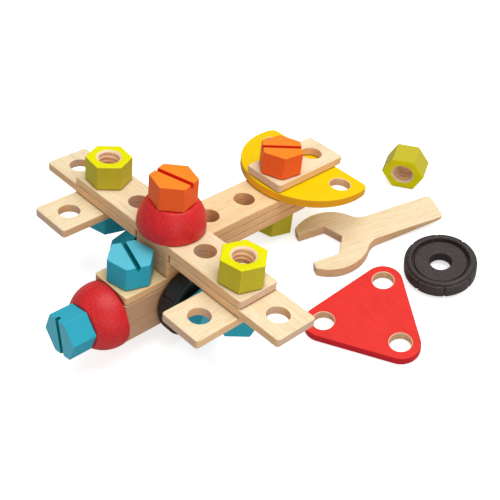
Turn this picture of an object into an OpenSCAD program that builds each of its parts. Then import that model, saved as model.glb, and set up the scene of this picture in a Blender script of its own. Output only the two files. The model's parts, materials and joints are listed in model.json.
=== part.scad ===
// Wooden construction set: an aeroplane bolted together from planks,
// with a wrench, a triangle plate, a wheel and a nut left beside it.
// The frame stands on the ground below the wheel axle: X along the wing to
// the aeroplane's left, Y to the tail, Z up.

/* [Planks] */
// distance from hole to hole
pitch = 36; // [35:0.5:38]
// width of every plank
plank_w = 35.4; // [34:0.2:35.8]
// thickness of every plank
plank_t = 7; // [6.5:0.5:8]
// diameter of every plain hole
hole_d = 16; // [15.5:0.1:16.5]

/* [Bolts and nuts] */
// across flats of nuts and bolt heads
flats = 30; // [28:0.5:31]
// height of a bolt head
head_h = 19; // [16:0.5:20]
// height of a nut
nut_h = 19.5; // [16:0.5:20]
// shank length of the short bolts
short_bolt = 30; // [28:0.5:31]
// distance from thread to thread
thread_pitch = 3.5; // [3:0.25:4]
// running clearance between a bolt and its hole
clearance = 0.1; // [0.05:0.05:0.1]

/* [Wheels and domes] */
// outside diameter of a wheel
wheel_d = 54; // [51:0.5:55]
// width of a wheel
wheel_w = 14; // [13:0.5:15]
// height of a dome
dome_h = 22.5; // [21:0.5:23]
// height of the nose block
block_h = 34; // [33:0.5:36]

/* [Loose pieces] */
// distance between the holes of the triangle
triangle_side = 58; // [54:0.5:60]
// length of the wrench from mouth centre to blade
wrench_reach = 99; // [92:1:102]
// thickness of the wrench
wrench_t = 9; // [8:0.5:10]

/* [Show] */
// node to draw

/* [Hidden] */
$fn = 96;
hole_r = hole_d / 2;
thread_depth = 1;
bolt_r = hole_r - clearance;
root_r = bolt_r - thread_depth;
hex_r = flats / sqrt(3);
slot_w = 3;
slot_depth = 4;
tip_chamfer = 1;
hole_chamfer = 1.5;
edge = 0.8;
corner_r = 2.5;
half_w = plank_w / 2;
gap = 0.6;

// heights in the aeroplane's own frame, counted down from the wing's top face
wing_under = -2 * plank_t;
cross_under = -3 * plank_t;
stack_under = -4 * plank_t;
block_top = -5 * plank_t;
axle_z = block_top - block_h / 2;

// the nose block and the pieces bolted to it
block_w = pitch;
block_back = half_w;
block_front = -pitch - half_w - 1;
block_hole_h = 7.5;
hole_spare = 1;
nose_hole_depth = short_bolt - dome_h + hole_spare / 2;
deck_hole_depth = short_bolt - plank_t + hole_spare;
wheel_r = wheel_d / 2;
wheel_x = block_w / 2 + gap;
wheel_grip = wheel_w + 2 * gap;
dome_r = 0.69 * pitch;
dome_rise = 4.5;
long_bolt = dome_h + 5 * plank_t + block_hole_h - hole_spare;
tail_bolt_length = 5 * plank_t + nut_h - hole_spare / 2;

// how far each bolt and nut has been turned about its own axis
wing_bolt_turns = [50, 73];
wing_nut_turns = [11, 53];
wheel_bolt_turns = [-15, 75];
cockpit_bolt_turn = -15;
nose_bolt_turn = 70;
nose_deck_bolt_turn = -48;
tail_bolt_turn = 21.5;
tail_nut_turn = 13;

// the tail plate
plate_r = 1.48 * pitch;
plate_centre = 0.92 * pitch;
plate_cut = 0.38 * pitch;
plate_corner = 6;
plate_hole_x = 1.02 * pitch;
plate_hole_y = plate_centre - 0.07 * pitch;

// the aeroplane leans back until the tail nut's rear corner meets the ground
tail_y = 3 * pitch;
reach = tail_y + (hex_r - edge) * sin(60 + tail_nut_turn);
drop = stack_under - nut_h - axle_z;
lean = atan2(drop, reach) + asin(wheel_r / sqrt(reach * reach + drop * drop));

// the spare pieces on the ground
triangle_at = [118.5, 88];
triangle_turn = 113;
triangle_margin = 14.5;
wrench_at = [46, 114];
wrench_turn = -24.5;
spare_wheel_at = [127.3, 158.6];
spare_nut_at = [44, 217.3];
spare_nut_turn = 26;

wood = [0.95, 0.8, 0.6];
red = [0.8, 0.1, 0.1];
orange = [0.95, 0.5, 0.12];
blue = [0.15, 0.65, 0.75];
green = [0.75, 0.75, 0.1];
yellow = [0.98, 0.8, 0.05];
black = [0.12, 0.11, 0.11];

// ---------- building shapes ----------

// places a piece drawn in the aeroplane's own frame
module leaning() {
    translate([0, 0, wheel_r]) rotate([-lean, 0, 0]) translate([0, 0, -axle_z]) children();
}

// rectangle with round corners, from one corner to the opposite corner
module rounded_area(low, high, r) {
    size = high - low;
    translate(low + [r, 0]) square([size.x - 2 * r, size.y]);
    translate(low + [0, r]) square([size.x, size.y - 2 * r]);
    for (x = [low.x + r, high.x - r], y = [low.y + r, high.y - r])
        translate([x, y]) circle(r);
}

// plank along Y with a hole at y = 0 and then every pitch
module plank(holes) {
    linear_extrude(plank_t)
        difference() {
            rounded_area([-half_w, -half_w], [half_w, (holes - 1) * pitch + half_w], corner_r);
            for (i = [0 : holes - 1])
                translate([0, i * pitch]) circle(hole_r);
        }
}

// outline of ring threads between two counts of rings below the head
function thread_outline(root, crest, first, last) = concat([
    for (k = [first : last - 1], step = [[root, 0], [root, 0.3], [crest, 0.5], [crest, 0.8]])
        [step[0], -(k + step[1]) * thread_pitch]
], [[root, -last * thread_pitch]]);

// threaded shank hanging below z = 0
module shank(length) {
    rings = floor((length - tip_chamfer) / thread_pitch);
    rotate_extrude()
        polygon(concat([[0, 0]], thread_outline(root_r, bolt_r, 0, rings),
            [[root_r - tip_chamfer, -length], [0, -length]]));
}

// hexagonal prism on z = 0 with its corners eased at both ends
module hex_body(height) {
    intersection() {
        cylinder(r = hex_r, h = height, $fn = 6);
        rotate_extrude()
            polygon([[0, 0], [hex_r - edge, 0], [hex_r, edge], [hex_r, height - edge],
                [hex_r - edge, height], [0, height]]);
    }
}

// slotted hexagonal bolt, its head standing on z = 0
module bolt(length) {
    difference() {
        hex_body(head_h);
        rotate([0, 0, 30])
            translate([-flats, -slot_w / 2, head_h - slot_depth])
                cube([2 * flats, slot_w, slot_depth + 1]);
    }
    shank(length);
}

// threaded hole below z = 0 for a bolt whose head sits grip above it
module thread_hole(depth, grip) {
    first = floor(grip / thread_pitch);
    last = ceil((grip + depth) / thread_pitch);
    intersection() {
        translate([0, 0, grip])
            rotate_extrude()
                polygon(concat([[0, -first * thread_pitch]],
                    thread_outline(root_r + clearance, hole_r, first, last),
                    [[0, -last * thread_pitch]]));
        translate([0, 0, -depth]) cylinder(r = hole_r + 1, h = depth);
    }
}

// cone that breaks the sharp mouth of a hole on the face z = 0
module mouth() {
    translate([0, 0, -hole_chamfer])
        cylinder(r1 = hole_r, r2 = hole_r + hole_chamfer, h = hole_chamfer);
}

// nut hanging below z = 0, threaded for a bolt with the given grip
module nut(grip) {
    difference() {
        translate([0, 0, -nut_h]) hex_body(nut_h);
        thread_hole(nut_h, grip);
        mouth();
        translate([0, 0, -nut_h]) mirror([0, 0, 1]) mouth();
    }
}

// dome standing on z = 0, with a flat top for a bolt head
module dome() {
    difference() {
        intersection() {
            translate([0, 0, dome_rise]) sphere(dome_r);
            cylinder(r = pitch, h = dome_h);
        }
        translate([0, 0, -1]) cylinder(r = hole_r, h = dome_h + 2);
    }
}

// wheel lying on z = 0: a tread between two narrower rims, a groove and a sunk hub on each face
module wheel() {
    rim_h = 3;
    rim_step = 1.8;
    rotate_extrude()
        difference() {
            union() {
                translate([hole_r, 0]) square([wheel_r - rim_step - hole_r, wheel_w]);
                translate([hole_r, rim_h]) square([wheel_r - hole_r, wheel_w - 2 * rim_h]);
            }
            wheel_face();
            translate([0, wheel_w]) mirror([0, 1]) wheel_face();
        }
}

// section removed from one face of the wheel, from the rim's inner edge to the hole
module wheel_face() {
    rim_r = wheel_r - 4.5;
    hub_r = wheel_r - 7.8;
    groove = 4;
    hub_drop = 2;
    slope = 0.5;
    mouth_r = hole_r + 1;
    polygon([[rim_r + slope, -1], [rim_r, 0], [rim_r - slope, groove], [hub_r, groove],
        [hub_r - slope, hub_drop], [mouth_r, hub_drop], [hole_r, hub_drop + 1], [0, hub_drop + 1],
        [0, -1]]);
}

// ---------- wing ----------

module wing_plank_top() color(wood) leaning()
    translate([-2 * pitch, 0, -plank_t]) rotate([0, 0, -90]) plank(5);

module lower_wing_plank() translate([pitch, 0, wing_under]) rotate([0, 0, -90]) plank(3);

module wing_plank_left() color(wood) leaning() lower_wing_plank();

module wing_plank_right() color(wood) leaning() mirror([1, 0, 0]) lower_wing_plank();

module cross_plank(side) translate([side * 2 * pitch, -pitch, cross_under]) plank(2);

module cross_plank_left() color(wood) leaning() cross_plank(1);

module cross_plank_right() color(wood) leaning() cross_plank(-1);

module wing_bolt(side, turn) translate([side * 2 * pitch, 0, cross_under]) rotate([180, 0, turn])
    bolt(short_bolt);

module wing_bolt_left() color(blue) leaning() wing_bolt(1, wing_bolt_turns[0]);

module wing_bolt_right() color(blue) leaning() wing_bolt(-1, wing_bolt_turns[1]);

module wing_nut(side, turn) translate([side * 2 * pitch, 0, 0]) rotate([180, 0, turn]) nut(3 * plank_t);

module wing_nut_left() color(green) leaning() wing_nut(1, wing_nut_turns[0]);

module wing_nut_right() color(green) leaning() wing_nut(-1, wing_nut_turns[1]);

// ---------- fuselage and tail ----------

module fuselage_plank(layer) translate([0, 0, -layer * plank_t]) plank(4);

module fuselage_plank_upper() color(wood) leaning() fuselage_plank(2);

module fuselage_plank_middle() color(wood) leaning() fuselage_plank(3);

module fuselage_plank_lower() color(wood) leaning() fuselage_plank(4);

// half disc with round corners, centred on its bolt hole
module tail_plate_area() {
    corner_y = plate_cut - plate_corner;
    corner_x = sqrt(pow(plate_r - plate_corner, 2) - corner_y * corner_y);
    stretch = plate_r / (plate_r - plate_corner);
    beyond = plate_r + 1;
    difference() {
        translate([0, plate_centre]) {
            difference() {
                circle(plate_r);
                translate([-plate_r, plate_cut]) square([2 * plate_r, plate_r]);
                for (side = [-1, 1])
                    polygon([[side * corner_x, beyond], [side * corner_x, corner_y],
                        [side * corner_x * stretch, corner_y * stretch],
                        [side * beyond, corner_y * stretch], [side * beyond, beyond]]);
            }
            for (side = [-1, 1])
                translate([side * corner_x, corner_y]) circle(plate_corner);
        }
        circle(hole_r);
        for (side = [-1, 1])
            translate([side * plate_hole_x, plate_hole_y]) circle(hole_r);
    }
}

module tail_plate() color(yellow) leaning()
    translate([0, tail_y, -plank_t]) linear_extrude(plank_t) tail_plate_area();

module tail_plank() color(wood) leaning() translate([0, tail_y, 0]) plank(2);

module tail_bolt() color(orange) leaning()
    translate([0, tail_y, plank_t]) rotate([0, 0, tail_bolt_turn]) bolt(tail_bolt_length);

module tail_nut() color(green) leaning()
    translate([0, tail_y, stack_under]) rotate([0, 0, tail_nut_turn]) nut(5 * plank_t);

// ---------- nose ----------

module nose_plank() color(wood) leaning() translate([0, -pitch, block_top]) plank(2);

module nose_block() color(wood) leaning() difference() {
    translate([0, 0, block_top - block_h])
        linear_extrude(block_h)
            rounded_area([-block_w / 2, block_front], [block_w / 2, block_back], corner_r);
    translate([0, 0, block_top]) thread_hole(block_hole_h, dome_h + 5 * plank_t);
    translate([0, -pitch, block_top]) thread_hole(deck_hole_depth, plank_t);
    translate([0, block_front, axle_z]) rotate([90, 0, 0]) thread_hole(nose_hole_depth, dome_h);
    for (side = [-1, 1])
        translate([side * block_w / 2, 0, axle_z]) rotate([0, side * 90, 0])
            thread_hole(block_w / 2, wheel_grip);
}

module cockpit_dome() color(red) leaning() dome();

module cockpit_bolt() color(orange) leaning()
    translate([0, 0, dome_h]) rotate([0, 0, cockpit_bolt_turn]) bolt(long_bolt);

module nose_dome() color(red) leaning() translate([0, block_front, axle_z]) rotate([90, 0, 0]) dome();

module nose_bolt() color(blue) leaning()
    translate([0, block_front - dome_h, axle_z]) rotate([90, 0, 0]) rotate([0, 0, nose_bolt_turn])
        bolt(short_bolt);

module nose_deck_bolt() color(blue) leaning()
    translate([0, -pitch, stack_under]) rotate([0, 0, nose_deck_bolt_turn]) bolt(short_bolt);

module axle_wheel(side) translate([side * wheel_x, 0, axle_z]) rotate([0, side * 90, 0]) wheel();

module wheel_left() color(black) leaning() axle_wheel(1);

module wheel_right() color(black) leaning() axle_wheel(-1);

module wheel_bolt(side, turn) translate([side * (wheel_x + wheel_w + gap), 0, axle_z])
    rotate([0, side * 90, 0]) rotate([0, 0, turn]) bolt(short_bolt);

module wheel_bolt_left() color(blue) leaning() wheel_bolt(1, wheel_bolt_turns[0]);

module wheel_bolt_right() color(blue) leaning() wheel_bolt(-1, wheel_bolt_turns[1]);

// ---------- loose pieces ----------

module triangle_plate() color(red)
    translate(triangle_at) rotate(triangle_turn) linear_extrude(plank_t) difference() {
        r = triangle_side / sqrt(3);
        union() {
            for (a = [0 : 120 : 240]) {
                rotate(a) translate([r, 0]) circle(triangle_margin);
                rotate(a + 60) translate([-1, -triangle_side / 2])
                    square([r / 2 + triangle_margin + 1, triangle_side]);
            }
            circle(r, $fn = 3);
        }
        for (a = [0 : 120 : 240])
            rotate(a) translate([r, 0]) circle(hole_r);
    }

// outline of the wrench around the centre of its mouth, handle along +Y
module wrench_area() {
    head_r = 30.6;
    head_y = 8;
    jaw_end = -13;
    handle_w = 25.4;
    handle_corner = 4;
    fillet_r = 14;
    mouth_w = flats + 1;
    fillet_x = handle_w / 2 + fillet_r;
    fillet_y = head_y + sqrt(pow(head_r + fillet_r, 2) - fillet_x * fillet_x);
    difference() {
        union() {
            translate([0, head_y]) circle(head_r);
            rounded_area([-handle_w / 2, 0], [handle_w / 2, wrench_reach], handle_corner);
            polygon([[0, head_y], [fillet_x, fillet_y], [-fillet_x, fillet_y]]);
        }
        for (side = [-1, 1])
            translate([side * fillet_x, fillet_y]) circle(fillet_r);
        rotate(30) circle(mouth_w / sqrt(3), $fn = 6);
        translate([-mouth_w / 2, -head_r]) square([mouth_w, head_r]);
        translate([-head_r, jaw_end - head_r]) square([2 * head_r, head_r]);
    }
}

// the underside of the wrench's handle rises to leave a thin screwdriver blade
module wrench() color(wood) {
    blade_t = 2.4;
    blade_length = 26;
    translate(wrench_at) rotate(wrench_turn) intersection() {
        linear_extrude(wrench_t) wrench_area();
        translate([-pitch, 0, 0]) rotate([90, 0, 90])
            linear_extrude(2 * pitch)
                polygon([[-pitch, 0], [wrench_reach - blade_length, 0], [wrench_reach, wrench_t - blade_t],
                    [wrench_reach, wrench_t], [-pitch, wrench_t]]);
    }
}

module spare_wheel() color(black) translate(spare_wheel_at) wheel();

module spare_nut() color(green)
    translate([spare_nut_at.x, spare_nut_at.y, flats / 2])
        rotate([0, 0, spare_nut_turn]) rotate([-90, 0, 0]) translate([0, 0, nut_h / 2]) nut(3 * plank_t);

// ---------- the nodes ----------

wing_plank_top();
wing_plank_left();
wing_plank_right();
cross_plank_left();
cross_plank_right();
wing_bolt_left();
wing_bolt_right();
wing_nut_left();
wing_nut_right();
fuselage_plank_upper();
fuselage_plank_middle();
fuselage_plank_lower();
tail_plate();
tail_plank();
tail_bolt();
tail_nut();
nose_plank();
nose_block();
cockpit_dome();
cockpit_bolt();
nose_dome();
nose_bolt();
nose_deck_bolt();
wheel_left();
wheel_right();
wheel_bolt_left();
wheel_bolt_right();
triangle_plate();
wrench();
spare_wheel();
spare_nut();
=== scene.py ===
"""Looks for the wooden construction set: an aeroplane bolted together from planks, and four spare pieces.

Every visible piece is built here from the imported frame: its place, its turn and its size are read from the
joints, the mounts and the CAD nodes. All lengths are in metres.
"""

import cmath
import json
import math

import bmesh
import bpy
from mathutils import Matrix, Vector


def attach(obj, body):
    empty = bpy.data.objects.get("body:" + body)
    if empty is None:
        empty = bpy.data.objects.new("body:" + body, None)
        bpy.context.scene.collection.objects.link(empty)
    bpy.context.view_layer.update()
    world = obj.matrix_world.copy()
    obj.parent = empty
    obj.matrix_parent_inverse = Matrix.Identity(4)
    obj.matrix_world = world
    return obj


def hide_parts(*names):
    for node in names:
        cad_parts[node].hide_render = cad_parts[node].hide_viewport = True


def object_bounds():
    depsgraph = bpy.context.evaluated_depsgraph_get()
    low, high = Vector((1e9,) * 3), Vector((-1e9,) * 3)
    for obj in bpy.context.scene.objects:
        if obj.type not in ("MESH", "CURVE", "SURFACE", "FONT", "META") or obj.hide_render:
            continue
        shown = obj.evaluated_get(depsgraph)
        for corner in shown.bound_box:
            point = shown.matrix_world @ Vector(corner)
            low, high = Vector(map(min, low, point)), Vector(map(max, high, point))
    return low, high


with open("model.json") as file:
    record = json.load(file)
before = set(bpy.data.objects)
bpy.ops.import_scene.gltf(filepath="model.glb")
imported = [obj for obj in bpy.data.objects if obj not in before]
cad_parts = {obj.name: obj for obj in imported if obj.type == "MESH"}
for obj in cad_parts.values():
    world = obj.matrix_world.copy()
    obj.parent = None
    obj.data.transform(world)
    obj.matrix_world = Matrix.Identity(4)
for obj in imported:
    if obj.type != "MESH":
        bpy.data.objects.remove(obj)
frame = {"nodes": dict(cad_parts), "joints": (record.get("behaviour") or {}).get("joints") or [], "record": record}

CAD_BOX = [list(corner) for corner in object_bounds()]
NODES = frame["nodes"]
BODIES = frame["record"]["behaviour"]["bodies"]
BODY_OF = {node: body for body, nodes in BODIES.items() for node in nodes}
SLOT_OF = {part["node"]: part["material_slot"] for part in frame["record"]["subparts"]}
JOINTS = {joint["name"]: joint for joint in frame["joints"]}
MOUNTS = {mount["name"]: mount for mount in frame["record"]["mounts"]}

MM = 0.001
X, Z = Vector((1, 0, 0)), Vector((0, 0, 1))

# a CAD vertex this near a plane lies on it, and new vertices this near each other are one
CLOSE = 0.1 * MM
SAME_POINT = 0.001 * MM

# sizes the frame gives
HOLE_R = MOUNTS["wing_tip_hole_left"]["dims"]["r_mm"] * MM
WING_NUTS = [Vector(JOINTS["wing_nut_" + side + "_turn"]["pos_m"]) for side in ("left", "right")]
PITCH = (WING_NUTS[0] - WING_NUTS[1]).length / 4

# finishing details that the CAD model leaves out or simplifies
SEAM = 0.05 * MM
PLANK_CORNER = 2.5 * MM
PLANK_EDGE = 0.9 * MM
HOLE_EDGE = 0.5 * MM
PAINT_EDGE = 0.9 * MM
THREAD_PITCH = 3.5 * MM
THREAD_DEPTH = 1.0 * MM
BOLT_CREST = 6.8 * MM
SLOT_WIDTH = 3 * MM
SLOT_DEPTH = 4 * MM
HEX_CORNER = 0.9 * MM
HEX_EDGE = 0.7 * MM
NUT_MOUTHS = (9.3 * MM, 7.8 * MM)
NOTCH_HEIGHT = 2.8 * MM
# how far the painted shade in seams and corners reaches
CREVICE_SHADE_REACH = 2.2 * MM


# ---------- placing ----------


def basis(origin, x_axis, z_axis):
    """The matrix of a frame with this origin, x axis and z axis."""
    x = Vector(x_axis).normalized()
    z = Vector(z_axis).normalized()
    y = z.cross(x)
    matrix = Matrix((x, y, z)).transposed().to_4x4()
    matrix.translation = Vector(origin)
    return matrix


UP = Vector(JOINTS["cockpit_dome_turn"]["axis"])
PLANE = basis((WING_NUTS[0] + WING_NUTS[1]) / 2, X, UP)


def local_points(node, matrix):
    """The CAD node's vertices, seen from a frame."""
    inverse = matrix.inverted()
    return [inverse @ vertex.co for vertex in NODES[node].data.vertices]


def local_box(node, matrix):
    """(lowest corner, highest corner) of a CAD node, seen from a frame."""
    points = local_points(node, matrix)
    low = Vector([min(p[k] for p in points) for k in range(3)])
    high = Vector([max(p[k] for p in points) for k in range(3)])
    return low, high


def from_axis(point):
    """A point's distance from the z axis."""
    return math.hypot(point.x, point.y)


def turn_of(points, fold):
    """The angle at which points lie farthest from the z axis, for a shape that repeats fold times a turn."""
    total = sum(complex(p.x, p.y) ** fold for p in points)
    return cmath.phase(total) / fold


def direction(azimuth, elevation):
    """Unit vector towards a viewer: azimuth 0 is in front of the nose, 90 beyond the left wing tip."""
    a, e = math.radians(azimuth), math.radians(elevation)
    return Vector((math.sin(a) * math.cos(e), -math.cos(a) * math.cos(e), math.sin(e)))


def axis_frame(joint, outward, across):
    """Frame at a joint whose z axis is outward and whose x axis is across."""
    return basis(JOINTS[joint]["pos_m"], across, outward)


# ---------- outlines ----------


def arc(centre, radius, start, end, steps):
    """Points of an arc between two angles in degrees."""
    angles = [math.radians(start + (end - start) * i / steps) for i in range(steps + 1)]
    return [Vector((centre[0] + radius * math.cos(a), centre[1] + radius * math.sin(a))) for a in angles]


def circle(centre, radius, steps=64):
    """Points of a whole circle, counter-clockwise."""
    return arc(centre, radius, 0, 360, steps)[:-1]


def rectangle(low, high):
    """Corners of an upright box's floor plan, counter-clockwise."""
    corners = ((low.x, low.y), (high.x, low.y), (high.x, high.y), (low.x, high.y))
    return [Vector(corner) for corner in corners]


def hexagon(corner_r):
    """Hexagon with a corner on the x axis."""
    return circle((0, 0), corner_r, 6)


def round_corner(before, corner, after, radius, steps):
    """Points of the small arc that replaces a sharp corner between its two neighbours."""
    to_last = (before - corner).normalized()
    to_next = (after - corner).normalized()
    angle = to_last.angle(to_next)
    reach = radius / math.tan(angle / 2)
    centre = corner + (to_last + to_next).normalized() * radius / math.sin(angle / 2)
    first = corner + to_last * reach - centre
    last = corner + to_next * reach - centre
    sweep = first.angle_signed(last)
    return [centre + Matrix.Rotation(-sweep * k / steps, 2) @ first for k in range(steps + 1)]


def soften(points, radius, steps=5):
    """The outline with its sharp corners replaced by small arcs."""
    nearly_straight = math.radians(160)
    result = []
    for i, corner in enumerate(points):
        before, after = points[i - 1], points[(i + 1) % len(points)]
        if (before - corner).angle(after - corner) > nearly_straight:
            result.append(corner)
        else:
            result += round_corner(before, corner, after, radius, steps)
    return result


def fillet_profile(corners, steps=4):
    """Profile through (radius, height, rounding) corners, each rounded by its own radius."""
    points = [Vector(corner[:2]) for corner in corners]
    result = []
    for i, corner in enumerate(points):
        before, after, rounding = points[i - 1], points[(i + 1) % len(points)], corners[i][2]
        if rounding == 0:
            result.append(corner)
        else:
            result += round_corner(before, corner, after, rounding, steps)
    return [(p[0], p[1]) for p in result]


def inset(points, distance):
    """The outline moved to its left by a distance. The limit keeps a very sharp corner from shooting out."""
    limit = 0.3
    moved = []
    for i, point in enumerate(points):
        before = (point - points[i - 1]).normalized()
        after = (points[(i + 1) % len(points)] - point).normalized()
        left_before = Vector((-before.y, before.x))
        left_after = Vector((-after.y, after.x))
        middle = (left_before + left_after).normalized()
        moved.append(point + middle * distance / max(middle.dot(left_after), limit))
    return moved


# ---------- mesh building ----------


def add_ring(bm, points, z):
    """New vertices at a height, one for each point of an outline."""
    return [bm.verts.new((p[0], p[1], z)) for p in points]


def join_rings(bm, upper, lower, material=0):
    """Band of faces between two rings of as many vertices."""
    count = len(upper)
    for i in range(count):
        k = (i + 1) % count
        face = bm.faces.new((upper[i], lower[i], lower[k], upper[k]))
        face.material_index = material


def fill_between(bm, rings):
    """Flat face bounded by an outline and the rings of its holes."""
    edges = []
    for ring in rings:
        for i, vertex in enumerate(ring):
            edge = bm.edges.get((vertex, ring[i - 1])) or bm.edges.new((vertex, ring[i - 1]))
            edges.append(edge)
    bmesh.ops.triangle_fill(bm, use_beauty=True, edges=edges)


def rounded_wall(bm, outline, low, high, radius, material=0, steps=4):
    """Upright wall along an outline, its two edges rounded. Returns its top and bottom rings."""
    profile = []
    for k in range(steps + 1):
        angle = math.pi / 2 * k / steps
        profile.append((radius * (1 - math.sin(angle)), radius * (1 - math.cos(angle))))
    rings = [add_ring(bm, inset(outline, away), high - down) for away, down in profile]
    rings += [add_ring(bm, inset(outline, away), low + down) for away, down in reversed(profile)]
    for upper, lower in zip(rings, rings[1:]):
        join_rings(bm, upper, lower, material)
    return rings[0], rings[-1]


def slab(outline, holes, low, high, edge=PLANK_EDGE, hole_material=0):
    """Flat piece of any outline with round holes, each a centre and a radius, and rounded edges."""
    bm = bmesh.new()
    top, bottom = rounded_wall(bm, outline, low, high, edge)
    tops, bottoms = [top], [bottom]
    for centre, radius in holes:
        ring = list(reversed(circle(centre, radius)))
        upper, lower = rounded_wall(bm, ring, low, high, HOLE_EDGE, hole_material)
        tops.append(upper)
        bottoms.append(lower)
    fill_between(bm, tops)
    fill_between(bm, bottoms)
    return bm


def lathe(profile, steps=96):
    """Round piece about the z axis from a closed loop of (radius, height)."""
    bm = bmesh.new()
    rings = []
    for radius, height in profile:
        rings.append(add_ring(bm, circle((0, 0), radius, steps), height))
    for upper, lower in zip(rings, rings[1:] + rings[:1]):
        join_rings(bm, upper, lower)
    return bm


def screw_thread(bm, low, high, root, crest, material, steps=48, rows=8):
    """Helical surface between two heights, which starts and ends as a plain circle of the root radius."""
    turns = math.ceil((high - low) / THREAD_PITCH) + 1
    grid = []
    for j in range(-rows, rows * turns + 1):
        line = []
        for i in range(steps):
            z = low + (j / rows + i / steps) * THREAD_PITCH
            z = min(max(z, low), high)
            fade = min(1, (z - low) / THREAD_PITCH, (high - z) / THREAD_PITCH)
            wave = 0.5 - 0.5 * math.cos(math.tau * j / rows)
            radius = root + (crest - root) * fade * wave
            angle = math.tau * i / steps
            line.append(bm.verts.new((radius * math.cos(angle), radius * math.sin(angle), z)))
        grid.append(line)
    for j in range(len(grid) - 1):
        for i in range(steps):
            if i < steps - 1:
                corners = [grid[j][i], grid[j][i + 1], grid[j + 1][i + 1], grid[j + 1][i]]
            elif j + rows + 1 < len(grid):
                corners = [grid[j][i], grid[j + rows][0], grid[j + rows + 1][0], grid[j + 1][i]]
            else:
                continue
            bm.faces.new(corners).material_index = material
    bmesh.ops.remove_doubles(bm, verts=[v for line in grid for v in line], dist=SAME_POINT)
    bmesh.ops.dissolve_degenerate(bm, edges=bm.edges, dist=SAME_POINT)
    without_area = [f for f in bm.faces if f.calc_area() < SAME_POINT ** 2]
    bmesh.ops.delete(bm, geom=without_area, context="FACES")


def new_object(bm, name):
    """Ends the building of a mesh and puts it in the scene as an object."""
    mesh = bpy.data.meshes.new(name)
    bm.to_mesh(mesh)
    bm.free()
    made = bpy.data.objects.new(name, mesh)
    bpy.context.scene.collection.objects.link(made)
    return made


def open_ring(bm, height):
    """The open edge of a surface at a height, as vertices in order round the z axis."""
    found = set()
    for edge in bm.edges:
        if edge.is_boundary and all(abs(v.co.z - height) < SAME_POINT for v in edge.verts):
            found.update(edge.verts)
    return sorted(found, key=lambda v: math.atan2(v.co.y, v.co.x))


# ---------- the kinds of piece ----------


def plank(node, matrix, material):
    """Plank whose length runs along the frame's x axis."""
    low, high = local_box(node, matrix)
    width = high.y - low.y
    count = round((high.x - low.x - width) / PITCH) + 1
    middle = (low.y + high.y) / 2
    holes = [((low.x + width / 2 + i * PITCH, middle), HOLE_R) for i in range(count)]
    bm = slab(soften(rectangle(low, high), PLANK_CORNER), holes, low.z + SEAM, high.z - SEAM)
    return finish(bm, node, matrix, [material])


def slotted_head(bm, across, height):
    """Hexagonal head standing on z = 0, its slot along y, open below."""
    outline = hexagon(across / math.sqrt(3))
    flat, half_slot, floor = across / 2, SLOT_WIDTH / 2, height - SLOT_DEPTH
    base = add_ring(bm, outline, 0)
    top = add_ring(bm, outline, height)
    rim = {(i, j): bm.verts.new((i * half_slot, j * flat, height)) for i in (-1, 1) for j in (-1, 1)}
    bed = {(i, j): bm.verts.new((i * half_slot, j * flat, floor)) for i in (-1, 1) for j in (-1, 1)}
    bm.faces.new(list(reversed(base)))
    for k in (0, 2, 3, 5):
        n = (k + 1) % 6
        bm.faces.new((base[k], base[n], top[n], top[k]))
    bm.faces.new((base[1], base[2], top[2], rim[-1, 1], bed[-1, 1], bed[1, 1], rim[1, 1], top[1]))
    bm.faces.new((base[4], base[5], top[5], rim[1, -1], bed[1, -1], bed[-1, -1], rim[-1, -1], top[4]))
    bm.faces.new((top[5], top[0], top[1], rim[1, 1], rim[1, -1]))
    bm.faces.new((top[2], top[3], top[4], rim[-1, -1], rim[-1, 1]))
    groove = [
        bm.faces.new((rim[1, 1], bed[1, 1], bed[1, -1], rim[1, -1])),
        bm.faces.new((rim[-1, -1], bed[-1, -1], bed[-1, 1], rim[-1, 1])),
        bm.faces.new((bed[-1, 1], bed[-1, -1], bed[1, -1], bed[1, 1])),
    ]
    # the slot's walls and floor get their own material, a deeper colour that is painted shade and bounced light
    groove_shade = 1
    for face in groove:
        face.material_index = groove_shade
    bmesh.ops.bevel(bm, geom=bm.edges[:], offset=HEX_EDGE, offset_type="OFFSET", segments=3, profile=0.5,
                    affect="EDGES", clamp_overlap=True, material=-1)
    under = [f for f in bm.faces if all(abs(v.co.z) < SAME_POINT for v in f.verts)]
    bmesh.ops.delete(bm, geom=under, context="FACES_ONLY")


def bolt(node, matrix):
    """Slotted bolt along the frame's z axis, its painted head above z = 0 and its bare thread below."""
    tip, bare = 1 * MM, 2
    root = BOLT_CREST - THREAD_DEPTH
    points = local_points(node, matrix)
    height = max(p.z for p in points)
    length = -min(p.z for p in points)
    floor = height - SLOT_DEPTH
    bed = [p for p in points if abs(p.z - floor) < CLOSE and from_axis(p) > HOLE_R]
    slot_turn = turn_of(bed, 2)
    matrix = matrix @ Matrix.Rotation(slot_turn - math.pi / 2, 4, "Z")
    across_flats = 2 * max(p.y for p in local_points(node, matrix))
    head = bmesh.new()
    slotted_head(head, across_flats, height)
    mesh = bpy.data.meshes.new("head")
    head.to_mesh(mesh)
    head.free()
    bm = bmesh.new()
    screw_thread(bm, -length + tip, 0, root, BOLT_CREST, bare)
    upper, lower = open_ring(bm, 0), open_ring(bm, -length + tip)
    end = add_ring(bm, [v.co * (1 - tip / root) for v in lower], -length)
    join_rings(bm, lower, end, bare)
    bm.faces.new(end).material_index = bare
    bm.from_mesh(mesh)
    bpy.data.meshes.remove(mesh)
    rim = [v for v in open_ring(bm, 0) if v not in upper]
    fill_between(bm, [rim, upper])
    lift(bm, SEAM)
    colour = SLOT_OF[node]
    return finish(bm, node, matrix, [STAINS[colour], SLOT_SHADE_STAINS[colour], THREAD_WOOD])


def lift(bm, distance):
    """Moves a piece out along z, so that it clears the face it sits on by a hair."""
    bmesh.ops.translate(bm, verts=bm.verts, vec=(0, 0, distance))


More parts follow.
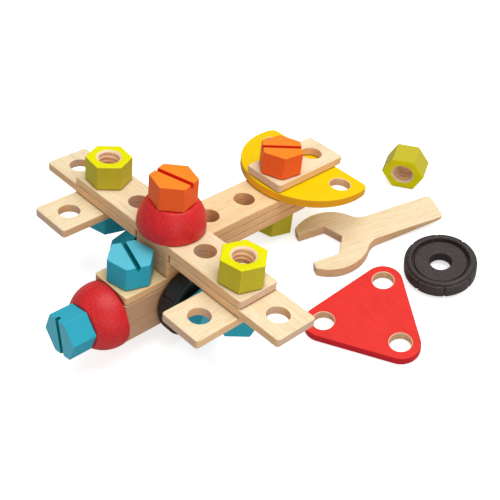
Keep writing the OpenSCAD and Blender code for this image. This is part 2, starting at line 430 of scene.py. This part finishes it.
def nut(node, matrix):
    """Nut along the frame's z axis, painted outside and bare round the thread, with a wider mouth on top."""
    points = local_points(node, matrix)
    low, high = min(p.z for p in points) + SEAM, max(p.z for p in points) - SEAM
    corner_r = max(from_axis(p) for p in points)
    flat_r = corner_r * math.cos(math.pi / 6)
    rim = [p for p in points if from_axis(p) > flat_r + CLOSE]
    matrix = matrix @ Matrix.Rotation(turn_of(rim, 6), 4, "Z")
    bm = bmesh.new()
    bare, lip = 1, 0.4 * MM
    wide, narrow = NUT_MOUTHS
    upper, lower = high - (wide - HOLE_R), low + lip
    screw_thread(bm, lower, upper, HOLE_R, HOLE_R - THREAD_DEPTH, bare)
    rings = []
    for face, start, mouth in ((high, upper, wide), (low, lower, narrow)):
        inner = open_ring(bm, start)
        outer = add_ring(bm, [v.co * (mouth / HOLE_R) for v in inner], face)
        join_rings(bm, outer, inner, bare)
        rings.append(outer)
    outline = soften(hexagon(corner_r), HEX_CORNER)
    top, bottom = rounded_wall(bm, outline, low, high, HEX_EDGE)
    fill_between(bm, [top, rings[0]])
    fill_between(bm, [bottom, rings[1]])
    return finish(bm, node, matrix, [STAINS[SLOT_OF[node]], THREAD_WOOD])


def dome(node, matrix):
    """Dome about the frame's z axis, with a flat top and a hole, standing on its round base."""
    points = local_points(node, matrix)
    low, high = min(p.z for p in points) + SEAM, max(p.z for p in points) - SEAM
    ball = max(from_axis(p) for p in points)
    hair, foot_edge, top_edge, steps = 0.02 * MM, 0.8 * MM, 1.2 * MM, 24
    widest = [p.z for p in points if from_axis(p) > ball - hair]
    centre = sum(widest) / len(widest)
    start = math.asin((low + foot_edge - centre) / ball)
    end = math.asin((high - top_edge / 2 - centre) / ball)
    side = []
    for k in range(steps + 1):
        angle = start + (end - start) * k / steps
        side.append((ball * math.cos(angle), centre + ball * math.sin(angle)))
    foot_r, crown_r = side[0][0], side[-1][0]
    foot = [
        (HOLE_R, low + HOLE_EDGE),
        (HOLE_R + HOLE_EDGE, low),
        (foot_r - foot_edge, low),
        (foot_r - foot_edge / 4, low + foot_edge / 4),
    ]
    crown = [
        (crown_r - top_edge / 2, high - top_edge / 6),
        (crown_r - top_edge, high),
        (HOLE_R + HOLE_EDGE, high),
        (HOLE_R, high - HOLE_EDGE),
    ]
    bm = lathe(foot + side + crown)
    return finish(bm, node, matrix, [STAINS[SLOT_OF[node]]])


def wheel(node, matrix, material):
    """Wheel about the frame's z axis: a notched tread, and a rim, a groove and a sunk hub on each face."""
    low, high = local_box(node, matrix)
    middle, half, radius = (low.z + high.z) / 2, (high.z - low.z) / 2 - SEAM, high.x
    rim_out, rim_in, hub = radius - 1.8 * MM, radius - 5.8 * MM, radius - 7.7 * MM
    tread_z, hub_z, groove_z = half - 2 * MM, half - 2.5 * MM, half - 4 * MM
    slope, groove_corner, notch_curve = 0.4 * MM, 0.5 * MM, 0.6
    face = [
        (HOLE_R, 0, 0),
        (HOLE_R, hub_z, 1.2 * MM),
        (hub, hub_z, 0.6 * MM),
        (hub + slope, groove_z, groove_corner),
        (rim_in - slope, groove_z, groove_corner),
        (rim_in, half, 1.4 * MM),
        (rim_out, half, 1.9 * MM),
        (rim_out + 0.1 * MM, tread_z, 0.05 * MM),
        (radius, tread_z, 0.9 * MM),
        (radius, tread_z - notch_curve * NOTCH_HEIGHT, 0),
        (radius, tread_z - NOTCH_HEIGHT, 0),
        (radius, 0, 0),
    ]
    upper = fillet_profile(face)
    profile = [(r, middle + z) for r, z in upper] + [(r, middle - z) for r, z in reversed(upper[1:-1])]
    bm = lathe(profile, steps=360)
    notch_tread(bm, radius, middle, tread_z)
    return finish(bm, node, matrix, [material])


def notch_tread(bm, radius, middle, tread_z):
    """Presses eight short notches into both edges of a tread."""
    step, half_width, depth, outside = math.tau / 8, 0.9 * MM, 1.3 * MM, -0.1
    for vertex in bm.verts:
        r = from_axis(vertex.co)
        angle = math.atan2(vertex.co.y, vertex.co.x)
        away = abs((angle + step / 2) % step - step / 2) * radius / half_width
        below = (tread_z - abs(vertex.co.z - middle)) / NOTCH_HEIGHT
        if away < 1 and r > radius - depth and outside < below < 1:
            vertex.co.xy *= 1 - depth * (1 - away ** 4) / r


def finish(bm, node, matrix, materials):
    """Turns a mesh into the visible piece that stands for a CAD node."""
    bmesh.ops.remove_doubles(bm, verts=bm.verts, dist=SAME_POINT)
    bmesh.ops.recalc_face_normals(bm, faces=bm.faces)
    piece = new_object(bm, node + "_look")
    for material in materials:
        piece.data.materials.append(material)
    for face in piece.data.polygons:
        face.use_smooth = True
    piece.matrix_world = matrix
    # the grain is moved by this number, so that no two pieces look alike
    piece.pass_index = 1 + sorted(NODES).index(node)
    normals = piece.modifiers.new("normals", "WEIGHTED_NORMAL")
    normals.weight = 60
    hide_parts(node)
    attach(piece, BODY_OF[node])
    return piece


# ---------- materials ----------


class Nodes:
    """Small helper that adds shader nodes and links them."""

    def __init__(self, name):
        self.material = bpy.data.materials.new(name)
        self.material.use_nodes = True
        self.tree = self.material.node_tree
        self.shader = self.tree.nodes["Principled BSDF"]

    def add(self, kind, inputs=None, **settings):
        """New shader node; an input is either a value or another node's output."""
        node = self.tree.nodes.new(kind)
        for key, value in settings.items():
            setattr(node, key, value)
        for key, value in (inputs or {}).items():
            if isinstance(value, bpy.types.NodeSocket):
                self.tree.links.new(value, node.inputs[key])
            else:
                node.inputs[key].default_value = value
        return node

    def math(self, operation, a, b=0.0):
        """Result of one arithmetic operation."""
        return self.add("ShaderNodeMath", {0: a, 1: b}, operation=operation).outputs[0]

    def ramp(self, value, low, high):
        """0 below low, 1 above high, smooth between."""
        node = self.add("ShaderNodeMapRange", {"Value": value, "From Min": low, "From Max": high},
                        interpolation_type="SMOOTHSTEP")
        return node.outputs["Result"]

    def mix(self, share, a, b, blend="MIX"):
        """Colour a with a share of colour b."""
        node = self.add("ShaderNodeMix", {0: share, 6: a, 7: b}, data_type="RGBA", blend_type=blend)
        return node.outputs[2]

    def tint(self, colour, factors):
        """The colour darkened by a factor for red, green and blue."""
        return self.mix(1.0, colour, (*factors, 1), "MULTIPLY")

    def layer(self, base, over, mask, low, high, share):
        """The base with another colour over it where the mask is above low, by at most the share."""
        return self.mix(self.math("MULTIPLY", self.ramp(mask, low, high), share), base, over)

    def noise(self, vector, scale, detail=2.0, roughness=0.5, distortion=0.0):
        """Fractal noise from 0 to 1."""
        node = self.add("ShaderNodeTexNoise", {"Vector": vector, "Scale": scale, "Detail": detail,
                                               "Roughness": roughness, "Distortion": distortion})
        return node.outputs["Fac"]

    def grain_space(self, axis, stretch):
        """Object coordinates with the fibres along x, each piece cut from its own part of the tree."""
        place = self.add("ShaderNodeTexCoord")
        index = self.add("ShaderNodeObjectInfo").outputs["Object Index"]
        shift = {k: self.math("MULTIPLY", index, step) for k, step in enumerate((0.37, 0.113, 0.071))}
        offset = self.add("ShaderNodeCombineXYZ", shift)
        split = self.add("ShaderNodeSeparateXYZ", {0: place.outputs["Object"]})
        turned = split.outputs if axis == "X" else (split.outputs[2], split.outputs[1], split.outputs[0])
        along = self.add("ShaderNodeCombineXYZ", {0: turned[0], 1: turned[1], 2: turned[2]})
        moved = self.add("ShaderNodeVectorMath", {0: along.outputs[0], 1: offset.outputs[0]}, operation="ADD")
        scaled = self.add("ShaderNodeVectorMath", {0: moved.outputs[0], 1: stretch}, operation="MULTIPLY")
        return scaled.outputs[0]

    def facing(self, axis):
        """How much the surface faces along an object axis, from 0 to 1."""
        normal = self.add("ShaderNodeTexCoord").outputs["Normal"]
        split = self.add("ShaderNodeSeparateXYZ", {0: normal})
        return self.math("ABSOLUTE", split.outputs["XYZ".index(axis)])

    def crevice_shade(self, reach):
        """How deep in a seam or a corner the surface lies, from 0 to 1: the mask by which the materials paint
        shade into seams and corners.
        """
        node = self.add("ShaderNodeAmbientOcclusion", {"Distance": reach}, samples=6)
        return self.ramp(node.outputs["AO"], 0.85, 0.3)

    def bump(self, height, distance, strength):
        """Relief of the surface, from a height between 0 and 1 and the distance that 1 stands for."""
        node = self.add("ShaderNodeBump", {"Height": height, "Distance": distance, "Strength": strength})
        self.tree.links.new(node.outputs[0], self.shader.inputs["Normal"])

    def set(self, **inputs):
        """Sets or links the main shader's inputs and returns the finished material."""
        for key, value in inputs.items():
            socket = self.shader.inputs[key.replace("_", " ")]
            if isinstance(value, bpy.types.NodeSocket):
                self.tree.links.new(value, socket)
            else:
                socket.default_value = value
        return self.material


def rgb(red, green, blue):
    """Linear colour from screen values of 0 to 255."""
    linear = [((v / 255 + 0.055) / 1.055) ** 2.4 if v > 10 else v / 255 / 12.92 for v in (red, green, blue)]
    return (*linear, 1.0)


def natural_wood(name, face, side, end):
    """Pale hardwood: a faint broad figure, fine fibres, short pores and greyer end grain, with sides darker and
    warmer than the tops as painted shade, and painted shade in seams and corners.
    """
    n = Nodes(name)
    figure = n.noise(n.grain_space("X", (5, 60, 60)), 1.0, 3, 0.55, 0.6)
    fibres = n.noise(n.grain_space("X", (24, 900, 900)), 1.0, 4, 0.65)
    pores = n.noise(n.grain_space("X", (90, 1500, 1500)), 1.0, 1, 0.5)
    speckle = n.noise(n.grain_space("X", (700, 700, 1500)), 1.0, 3, 0.6)
    # painted shade: the side colour, darker and warmer than the top colour, is used where the surface does not
    # face along z
    wood_top_and_shaded_side = n.mix(n.ramp(n.facing("Z"), 0.4, 0.8), side, face)
    darker = n.tint(wood_top_and_shaded_side, (0.82, 0.7, 0.58))
    figured = n.layer(wood_top_and_shaded_side, darker, figure, 0.4, 0.72, share=0.35)
    streaked = n.layer(figured, darker, fibres, 0.46, 0.7, share=0.6)
    pored = n.layer(streaked, n.tint(wood_top_and_shaded_side, (0.66, 0.48, 0.38)), pores, 0.6, 0.7, share=0.42)
    end_tone = n.layer(end, darker, speckle, 0.35, 0.7, share=0.5)
    cut = n.layer(pored, end_tone, n.facing("X"), 0.6, 0.92, share=0.85)
    # painted shade: the colour turns dark brown deep in seams, corners and thread valleys
    colour = n.mix(n.crevice_shade(CREVICE_SHADE_REACH), cut, n.tint(cut, (0.4, 0.24, 0.14)))
    relief = n.math("ADD", n.math("MULTIPLY", fibres, 0.7), n.math("MULTIPLY", pores, -0.5))
    n.bump(relief, distance=0.14 * MM, strength=0.5)
    rough = n.math("ADD", n.math("MULTIPLY", fibres, 0.18), 0.46)
    return n.set(Base_Color=colour, Roughness=rough, Specular_IOR_Level=0.15)


def stain(name, face, side, axis="Z", gloss=0.1, mottle=0.2, flecks=0.0):
    """Coloured wood stain, with sides deeper than the tops as painted shade and painted shade in seams and
    corners: the grain shows through as a faint tone and relief.
    """
    n = Nodes(name)
    cloud = n.noise(n.grain_space(axis, (60, 120, 120)), 1.0, 3, 0.55)
    fibres = n.noise(n.grain_space(axis, (40, 1000, 1000)), 1.0, 3, 0.6)
    speckle = n.noise(n.grain_space(axis, (1500, 1500, 1500)), 1.0, 2, 0.6)
    bare = n.noise(n.grain_space(axis, (1500, 1500, 1500)), 1.0, 1, 0.5)
    # painted shade: the side colour, deeper than the top colour, is used where the surface does not face along z
    stain_top_and_shaded_side = n.mix(n.ramp(n.facing("Z"), 0.5, 0.85), side, face)
    deep = n.tint(stain_top_and_shaded_side, (0.62, 0.5, 0.5))
    patchy = n.layer(stain_top_and_shaded_side, deep, cloud, 0.35, 0.7, share=mottle * 0.6)
    streaked = n.layer(patchy, deep, fibres, 0.48, 0.75, share=mottle)
    speckled = n.layer(streaked, deep, speckle, 0.52, 0.72, share=mottle)
    # pale pink flecks spread evenly over the stain: the stain's own speckle together with a painted speckled sheen
    flecked = n.layer(speckled, rgb(250, 150, 140), bare, 0.55, 0.75, share=flecks)
    # painted shade: the stain darkens deep in seams and corners
    seam_shade = n.tint(flecked, (0.45, 0.35, 0.35))
    colour = n.mix(n.math("MULTIPLY", n.crevice_shade(CREVICE_SHADE_REACH), 0.7), flecked, seam_shade)
    n.bump(n.math("ADD", fibres, n.math("MULTIPLY", speckle, 0.7)), distance=0.1 * MM, strength=0.5)
    shine = n.math("ADD", n.math("MULTIPLY", speckle, 0.25), 0.3)
    return n.set(Base_Color=colour, Roughness=shine, Specular_IOR_Level=gloss)


def composite(name, dark, pale, rough):
    """Pressed dark wood composite with fine pale grains."""
    n = Nodes(name)
    space = n.grain_space("Z", (1, 1, 1))
    grains = n.noise(space, 1300, 3, 0.7)
    cloud = n.noise(space, 110, 2, 0.5)
    base = n.mix(n.ramp(cloud, 0.3, 0.7), dark, n.mix(0.25, dark, (0, 0, 0, 1)))
    colour = n.layer(base, pale, grains, 0.52, 0.7, share=0.5)
    n.bump(n.math("ADD", grains, n.math("MULTIPLY", cloud, 0.5)), distance=0.25 * MM, strength=0.6)
    shine = n.math("ADD", n.math("MULTIPLY", grains, 0.3), rough - 0.15)
    return n.set(Base_Color=colour, Roughness=shine, Specular_IOR_Level=0.45)


# each wood's second colour is for its sides, darker and warmer than its first as painted shade
WOOD = natural_wood("natural_wood", rgb(251, 232, 194), rgb(246, 204, 156), rgb(226, 196, 176))
# painted shade: a warmer, darker copy of the natural wood, so that the body and nose planks read as in warm shade
SHADE_WARMED_WOOD = natural_wood("shade_warmed_wood", rgb(251, 222, 172), rgb(246, 198, 146), rgb(214, 170, 132))
# painted shade: the nose block's wood is a darker copy of the natural wood, for a block that sits low in shadow
SHADED_BLOCK_WOOD = natural_wood("shaded_block_wood", rgb(236, 200, 160), rgb(216, 172, 138), rgb(200, 160, 140))
THREAD_WOOD = natural_wood("thread_wood", rgb(253, 230, 200), rgb(250, 214, 172), rgb(226, 180, 146))
# each stain's second colour is for its sides, deeper than its first as painted shade
STAINS = {
    "red_stain": stain("red_stain", rgb(232, 30, 34), rgb(224, 22, 30), gloss=0.4, mottle=0.45, flecks=0.3),
    "orange_stain": stain("orange_stain", rgb(250, 142, 38), rgb(254, 104, 44), mottle=0.12),
    "blue_stain": stain("blue_stain", rgb(98, 202, 224), rgb(54, 178, 202), mottle=0.12),
    "green_stain": stain("green_stain", rgb(240, 235, 0), rgb(204, 192, 52), mottle=0.12),
    "yellow_stain": stain("yellow_stain", rgb(254, 212, 0), rgb(244, 176, 36), mottle=0.12),
}
# the second colour, for the sides, is deeper as painted shade
PLATE_RED = stain("plate_red_stain", rgb(244, 60, 54), rgb(222, 32, 44), "X", mottle=0.3)
# painted shade and bounced light in the bolt slots: a deeper red and a dark teal
SLOT_SHADE_STAINS = {
    "orange_stain": stain("orange_slot_shade", rgb(240, 54, 26), rgb(240, 54, 26)),
    "blue_stain": stain("blue_slot_shade", rgb(6, 134, 146), rgb(6, 134, 146)),
}
PALE_COMPOSITE = composite("pale_composite", rgb(50, 40, 39), rgb(132, 114, 106), 0.5)
BLACK_COMPOSITE = composite("black_composite", rgb(36, 37, 38), rgb(78, 78, 78), 0.38)


# ---------- the aeroplane ----------

ALONG_WING = PLANE
ALONG_BODY = PLANE @ Matrix.Rotation(math.pi / 2, 4, "Z")
FORWARD = Vector(JOINTS["nose_bolt_turn"]["axis"])

# each bolt's outward direction and a direction across it
BOLT_DIRECTIONS = {
    "cockpit_bolt": (UP, X),
    "nose_deck_bolt": (UP, X),
    "tail_bolt": (UP, X),
    "wing_bolt_left": (-UP, X),
    "wing_bolt_right": (-UP, X),
    "nose_bolt": (FORWARD, X),
    "wheel_bolt_left": (X, Z),
    "wheel_bolt_right": (-X, Z),
}


def build_planks():
    """The planks that lie along the wing and those that lie along the body."""
    for node in ("wing_plank_top", "wing_plank_left", "wing_plank_right"):
        plank(node, ALONG_WING, WOOD)
    for node in ("cross_plank_left", "cross_plank_right", "tail_plank"):
        plank(node, ALONG_BODY, WOOD)
    # the body and nose planks get the shade-warmed wood as painted shade
    for node in ("fuselage_plank_upper", "fuselage_plank_middle", "fuselage_plank_lower", "nose_plank"):
        plank(node, ALONG_BODY, SHADE_WARMED_WOOD)


def build_bolts():
    """All eight bolts, each about its own joint's axis."""
    for node, (outward, across) in BOLT_DIRECTIONS.items():
        bolt(node, axis_frame(node + "_turn", outward, across))


def build_nuts():
    """Three nuts on the aeroplane and the spare one, whose wide mouth faces the front."""
    for node in ("wing_nut_left", "wing_nut_right", "tail_nut"):
        nut(node, axis_frame(node + "_turn", UP, X))
    mount = MOUNTS["spare_nut_thread"]
    nut("spare_nut", basis(mount["pos_m"], Z, -Vector(mount["axis"])))


def build_round_pieces():
    """The domes and the wheels."""
    dome("cockpit_dome", axis_frame("cockpit_dome_turn", UP, X))
    dome("nose_dome", axis_frame("nose_dome_turn", FORWARD, X))
    wheel("wheel_left", axis_frame("wheel_left_spin", X, Z), BLACK_COMPOSITE)
    wheel("wheel_right", axis_frame("wheel_right_spin", -X, Z), BLACK_COMPOSITE)
    wheel("spare_wheel", basis(MOUNTS["spare_wheel_bore"]["pos_m"], X, Z), PALE_COMPOSITE)


def build_tail_plate():
    """Half disc with round corners and three holes."""
    low, high = local_box("tail_plate", PLANE)
    radius = (high.x - low.x) / 2
    centre = low.y + radius
    corner = 6 * MM
    cut = high.y - centre
    lift_y = cut - corner
    side = math.sqrt((radius - corner) ** 2 - lift_y ** 2)
    tilt = math.degrees(math.atan2(lift_y, side))
    outline = arc((0, centre), radius, -180 - tilt, tilt, 72)
    outline += arc((side, centre + lift_y), corner, tilt, 90, 8)[1:]
    outline += arc((-side, centre + lift_y), corner, 90, 180 - tilt, 8)[:-1]
    inverse = PLANE.inverted()
    holes = [((0, (inverse @ Vector(JOINTS["tail_plate_turn"]["pos_m"])).y), HOLE_R)]
    for name in ("tail_plate_hole_left", "tail_plate_hole_right"):
        place = inverse @ Vector(MOUNTS[name]["pos_m"])
        holes.append(((place.x, place.y), HOLE_R))
    bm = slab(outline, holes, low.z + SEAM, high.z - SEAM, PAINT_EDGE, hole_material=1)
    finish(bm, "tail_plate", PLANE, [STAINS["yellow_stain"], THREAD_WOOD])


def build_nose_block():
    """Block with rounded edges and a hole for each bolt that ends in it."""
    low, high = local_box("nose_block", ALONG_BODY)
    bm = slab(soften(rectangle(low, high), PLANK_CORNER), [], low.z, high.z - SEAM)
    block = finish(bm, "nose_block", ALONG_BODY, [SHADED_BLOCK_WOOD])
    for node in ("cockpit_bolt", "nose_deck_bolt", "nose_bolt", "wheel_bolt_left", "wheel_bolt_right"):
        drill(block, node, axis_frame(node + "_turn", *BOLT_DIRECTIONS[node]))


def drill(piece, bolt_node, matrix):
    """Cuts the hole that a bolt ends in, a little deeper than the bolt."""
    spare = 1 * MM
    depth = spare - min(p.z for p in local_points(bolt_node, matrix))
    bm = bmesh.new()
    bottom = add_ring(bm, circle((0, 0), HOLE_R, steps=48), -depth)
    top = add_ring(bm, circle((0, 0), HOLE_R, steps=48), 0)
    join_rings(bm, top, bottom)
    bm.faces.new(top)
    bm.faces.new(list(reversed(bottom)))
    bmesh.ops.recalc_face_normals(bm, faces=bm.faces)
    cutter = new_object(bm, "drill")
    cutter.matrix_world = matrix
    cut = piece.modifiers.new("cut", "BOOLEAN")
    cut.object = cutter
    cut.operation = "DIFFERENCE"
    bpy.context.view_layer.update()
    evaluated = piece.evaluated_get(bpy.context.evaluated_depsgraph_get())
    drilled = bpy.data.meshes.new_from_object(evaluated)
    piece.modifiers.remove(cut)
    piece.data = drilled
    bpy.data.objects.remove(cutter)


def build_triangle():
    """Triangle plate with round corners and a hole in each."""
    mount = MOUNTS["triangle_holes"]
    flat = basis(mount["pos_m"], X, Z)
    points = local_points("triangle_plate", flat)
    flat = flat @ Matrix.Rotation(turn_of(points, 3), 4, "Z")
    spread = mount["dims"]["pcd_mm"] * MM / 2
    margin = max(from_axis(p) for p in points) - spread
    centres = circle((0, 0), spread, 3)
    outline = []
    for k, centre in enumerate(centres):
        outline += arc(centre, margin, 120 * k - 60, 120 * k + 60, 20)
    holes = [(centre, HOLE_R) for centre in centres]
    low, high = min(p.z for p in points), max(p.z for p in points)
    bm = slab(outline, holes, low, high, PAINT_EDGE, hole_material=1)
    finish(bm, "triangle_plate", flat, [PLATE_RED, THREAD_WOOD])


def build_wrench():
    """Wrench with an open hexagonal mouth and a handle whose underside rises to a blade."""
    mount = MOUNTS["wrench_mouth"]
    matrix = basis(mount["pos_m"], -Vector(mount["axis"]), Z)
    points = local_points("wrench", matrix)
    low, high = min(p.z for p in points), max(p.z for p in points)
    tip, reach = min(p.x for p in points), max(p.x for p in points)
    head, head_x, fillet, corner, sharp = 30.6 * MM, 8 * MM, 14 * MM, 4 * MM, 1.2 * MM
    hair, blade_zone, mouth_corner = 0.01 * MM, 10 * MM, 9 * MM
    flat_end = max(p.x for p in points if p.z < low + hair)
    blade = high - min(p.z for p in points if p.x > reach - CLOSE)
    handle = max(abs(p.y) for p in points if p.x > reach - blade_zone)
    in_mouth = [p for p in points if abs(p.x - mouth_corner) < CLOSE and abs(p.y) < 2 * HOLE_R]
    gap = max(abs(p.y) for p in in_mouth)
    side_y = handle + fillet
    side_x = head_x + math.sqrt((head + fillet) ** 2 - side_y ** 2)
    join = math.degrees(math.atan2(side_y, side_x - head_x))
    jaw = math.degrees(math.acos((tip - head_x) / head))
    half = arc((head_x, 0), head, jaw, join, 40)
    half += arc((side_x, side_y), fillet, join + 180, 270, 14)[1:]
    half += arc((reach - corner, handle - corner), corner, 90, 0, 6)
    mouth = [Vector((tip, gap)), Vector((gap / math.sqrt(3), gap)), Vector((2 * gap / math.sqrt(3), 0))]
    upper = list(reversed(mouth)) + half
    lower = [Vector((p.x, -p.y)) for p in reversed(upper[1:])]
    outline = soften(list(reversed(upper + lower)), sharp)
    bm = slab(outline, [], low, high)
    for vertex in bm.verts:
        share = (vertex.co.x - flat_end) / (reach - flat_end)
        if share > 0:
            thickness = high - low - (high - low - blade) * share
            vertex.co.z = high - (high - vertex.co.z) * thickness / (high - low)
    finish(bm, "wrench", matrix, [WOOD])


# ---------- the stage ----------


def build_stage():
    """Plain pale floor, which the camera sees brighter than the object does."""
    white, pale, grey = (1, 1, 1, 1), (0.9, 0.9, 0.9, 1), (0.6, 0.6, 0.6, 1)
    glow, size, drop = 0.62, 6, 0.2 * MM
    n = Nodes("floor")
    seen = n.add("ShaderNodeLightPath").outputs["Is Camera Ray"]
    n.set(Base_Color=n.mix(seen, grey, pale), Roughness=0.9, Specular_IOR_Level=0.1)
    n.set(Emission_Color=white, Emission_Strength=n.math("MULTIPLY", seen, glow))
    bm = bmesh.new()
    bmesh.ops.create_grid(bm, x_segments=2, y_segments=2, size=size)
    floor = new_object(bm, "floor")
    floor.data.materials.append(n.material)
    floor.location.z = CAD_BOX[0][2] - drop


def area_light(name, azimuth, elevation, distance, size, power, aim):
    """Soft square light that shines at a point from a direction."""
    data = bpy.data.lights.new(name, "AREA")
    data.shape = "SQUARE"
    data.size = size
    data.energy = power
    lamp = bpy.data.objects.new(name, data)
    bpy.context.scene.collection.objects.link(lamp)
    back = direction(azimuth, elevation)
    lamp.location = aim + back * distance
    lamp.rotation_mode = "QUATERNION"
    lamp.rotation_quaternion = (-back).to_track_quat("-Z", "Y")


def build_light():
    """Surroundings that look white and shine weakly, a large key light overhead and a weak fill."""
    weak = 0.4
    world = bpy.data.worlds.new("studio")
    world.use_nodes = True
    background = world.node_tree.nodes["Background"]
    background.inputs["Color"].default_value = (1, 1, 1, 1)
    rays = world.node_tree.nodes.new("ShaderNodeLightPath")
    strength = world.node_tree.nodes.new("ShaderNodeMapRange")
    strength.inputs["To Min"].default_value = weak
    world.node_tree.links.new(rays.outputs["Is Camera Ray"], strength.inputs["Value"])
    world.node_tree.links.new(strength.outputs["Result"], background.inputs["Strength"])
    bpy.context.scene.world = world
    middle = (Vector(CAD_BOX[0]) + Vector(CAD_BOX[1])) / 2
    area_light("key", azimuth=155, elevation=70, distance=1.3, size=1.1, power=13, aim=middle)
    area_light("fill", azimuth=72, elevation=25, distance=1.4, size=1.0, power=3.6, aim=middle)


def build_camera():
    """Camera high in front of the left wing tip, rolled a little."""
    back = direction(azimuth=51.83, elevation=47.96)
    roll = math.radians(7.62)
    aim = Vector((3.7, 77.2, 0)) * MM
    distance = 748.6 * MM
    data = bpy.data.cameras.new("camera")
    data.sensor_width = 36
    data.lens = 68.12
    camera = bpy.data.objects.new("camera", data)
    bpy.context.scene.collection.objects.link(camera)
    camera.location = aim + back * distance
    camera.rotation_mode = "QUATERNION"
    level = (-back).to_track_quat("-Z", "Y")
    camera.rotation_quaternion = level @ Matrix.Rotation(-roll, 3, "Z").to_quaternion()
    bpy.context.scene.camera = camera


build_planks()
build_bolts()
build_nuts()
build_round_pieces()
build_tail_plate()
build_nose_block()
build_triangle()
build_wrench()
build_stage()
build_light()
build_camera()
bpy.context.scene.view_settings.view_transform = "Standard"
